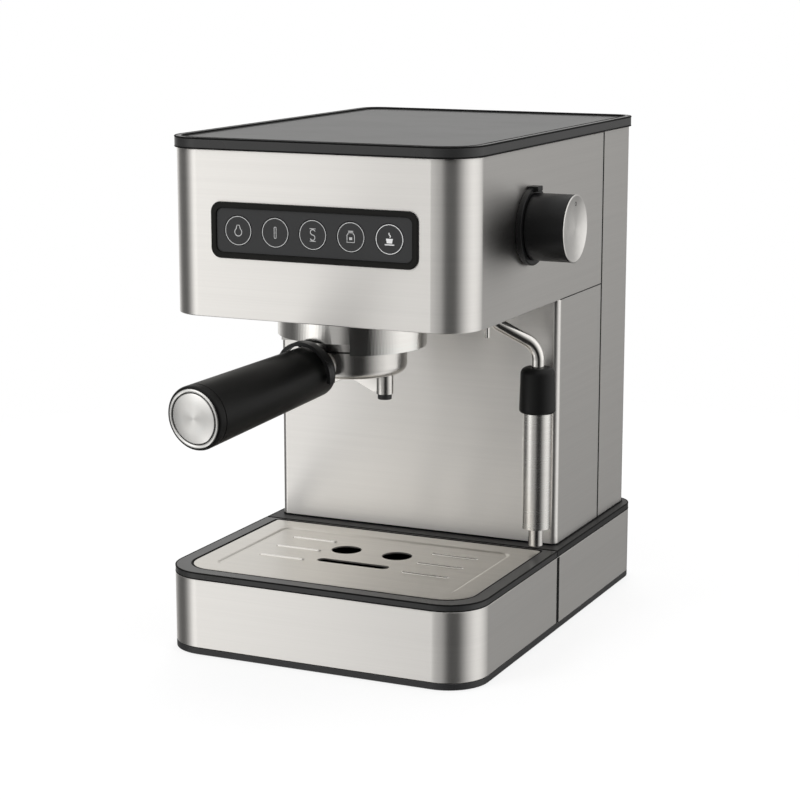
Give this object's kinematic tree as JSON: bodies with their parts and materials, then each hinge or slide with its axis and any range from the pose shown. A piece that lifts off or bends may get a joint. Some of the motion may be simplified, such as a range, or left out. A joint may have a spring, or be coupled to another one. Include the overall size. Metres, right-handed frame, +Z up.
{
  "type": "espresso machine",
  "caption": "Compact pump espresso machine with a steel body, push buttons, a steam wand, a portafilter and a slide-out drip tray.",
  "frame": {"origin": "centre of the footprint on the counter", "axes": "+Z up, the front faces -Y, +X to the right of someone who faces +Y"},
  "size_m": [0.2227, 0.3788, 0.305],
  "materials": {
    "black_plastic": "fine satin grain",
    "rim_plastic": "satin",
    "steel_skin": "brushed, horizontal grain",
    "cast_metal": "satin",
    "polished_steel": "polished",
    "spun_cap": "spun, fine rings",
    "grille_steel": "satin",
    "panel_black": "gloss",
    "button_black": "gloss with a light ring",
    "cup_plate_grey": "satin",
    "rubber": "matte",
    "gasket_rubber": "matte",
    "board_green": "board with parts",
    "copper_pipe": "drawn pipe",
    "brass": "machined",
    "screw_steel": "zinc plated",
    "hose_white": "matte",
    "pump_blue": "moulded",
    "tank_smoke": "smoky clear plastic",
    "tank_plastic": "satin",
    "valve_white": "moulded"
  },
  "bodies": {
    "machine": {"base_plinth": "black_plastic", "head_floor": "black_plastic", "tank_bay": "black_plastic", "tank_seat": "black_plastic", "cord_gland": "black_plastic", "thermostats": "black_plastic", "rubber_feet": "rubber", "base_deck": "rim_plastic", "lid_frame": "rim_plastic", "panel_bezel": "rim_plastic", "rear_base_wrap": "steel_skin", "column_wrap": "steel_skin", "head_shell": "steel_skin", "rear_shell": "steel_skin", "floor_screws": "screw_steel", "boiler_screws": "screw_steel", "shower_screw": "screw_steel", "cup_plate": "cup_plate_grey", "panel_plate": "panel_black", "control_board": "board_green", "power_board": "board_green", "knob_ring": "black_plastic", "steam_valve": "brass", "steam_pipes": "copper_pipe", "group_collar": "cast_metal", "group_head": "cast_metal", "boiler": "cast_metal", "brew_gasket": "gasket_rubber", "shower_screen": "polished_steel", "wand_nut": "polished_steel", "relief_nozzle": "polished_steel", "pump": "pump_blue", "hoses": "hose_white"},
    "drip_tray": {"tray_wrap": "steel_skin", "tray_pan": "black_plastic", "tray_rim": "rim_plastic"},
    "grille": {"drip_grille": "grille_steel"},
    "portafilter": {"portafilter_bowl": "polished_steel", "filter_basket": "polished_steel", "spout": "polished_steel", "spout_tips": "black_plastic", "handle_stud": "polished_steel", "handle_grip": "black_plastic", "handle_cap": "spun_cap"},
    "clip": {"basket_clip": "black_plastic"},
    "knob": {"steam_knob": "black_plastic", "knob_cap": "spun_cap", "valve_spindle": "brass"},
    "wand": {"wand_tube": "polished_steel", "wand_grip": "black_plastic", "steam_tip": "polished_steel"},
    "sleeve": {"froth_sleeve": "polished_steel"},
    "tank": {"water_tank": "tank_smoke", "tank_lid": "tank_plastic", "tank_valve": "valve_white"},
    "press_1": {"button_1": "button_black"},
    "press_2": {"button_2": "button_black"},
    "press_3": {"button_3": "button_black"},
    "press_4": {"button_4": "button_black"},
    "press_5": {"button_5": "button_black"}
  },
  "joints": [
    {"name": "tray_slide", "type": "slide", "parent": "machine", "child": "drip_tray", "axis": [0, -1, 0], "range_m": [0, 0.16]},
    {"name": "grille_lift", "type": "hinge", "parent": "drip_tray", "child": "grille", "pos_m": [0, -0.009, 0.05], "axis": [-1, 0, 0], "range_deg": [0, 25]},
    {"name": "portafilter_turn", "type": "hinge", "parent": "machine", "child": "portafilter", "pos_m": [0, -0.084, 0.18], "axis": [0, 0, 1], "range_deg": [-45, 0]},
    {"name": "clip_tip", "type": "hinge", "parent": "portafilter", "child": "clip", "pos_m": [-0.00667, -0.13149, 0.17341], "axis": [0.9903, -0.1392, 0], "range_deg": [0, 10]},
    {"name": "steam_knob_turn", "type": "hinge", "parent": "machine", "child": "knob", "pos_m": [0.11, -0.0448, 0.253], "axis": [1, 0, 0], "range_deg": [0, 180]},
    {"name": "wand_turn", "type": "hinge", "parent": "machine", "child": "wand", "pos_m": [0.066, -0.03, 0.2], "axis": [0, 0, 1], "range_deg": [-110, 12]},
    {"name": "sleeve_slide", "type": "slide", "parent": "wand", "child": "sleeve", "axis": [0, 0, -1], "range_m": [0, 0.01]},
    {"name": "tank_slide", "type": "slide", "parent": "machine", "child": "tank", "axis": [0, 1, 0], "range_m": [0, 0.07]},
    {"name": "button_1_press", "type": "slide", "parent": "machine", "child": "press_1", "axis": [0, 1, 0], "range_m": [0, 0.0006], "stiffness_N_per_m": 2500},
    {"name": "button_2_press", "type": "slide", "parent": "machine", "child": "press_2", "axis": [0, 1, 0], "range_m": [0, 0.0006], "stiffness_N_per_m": 2500},
    {"name": "button_3_press", "type": "slide", "parent": "machine", "child": "press_3", "axis": [0, 1, 0], "range_m": [0, 0.0006], "stiffness_N_per_m": 2500},
    {"name": "button_4_press", "type": "slide", "parent": "machine", "child": "press_4", "axis": [0, 1, 0], "range_m": [0, 0.0006], "stiffness_N_per_m": 2500},
    {"name": "button_5_press", "type": "slide", "parent": "machine", "child": "press_5", "axis": [0, 1, 0], "range_m": [0, 0.0006], "stiffness_N_per_m": 2500}
  ]
}
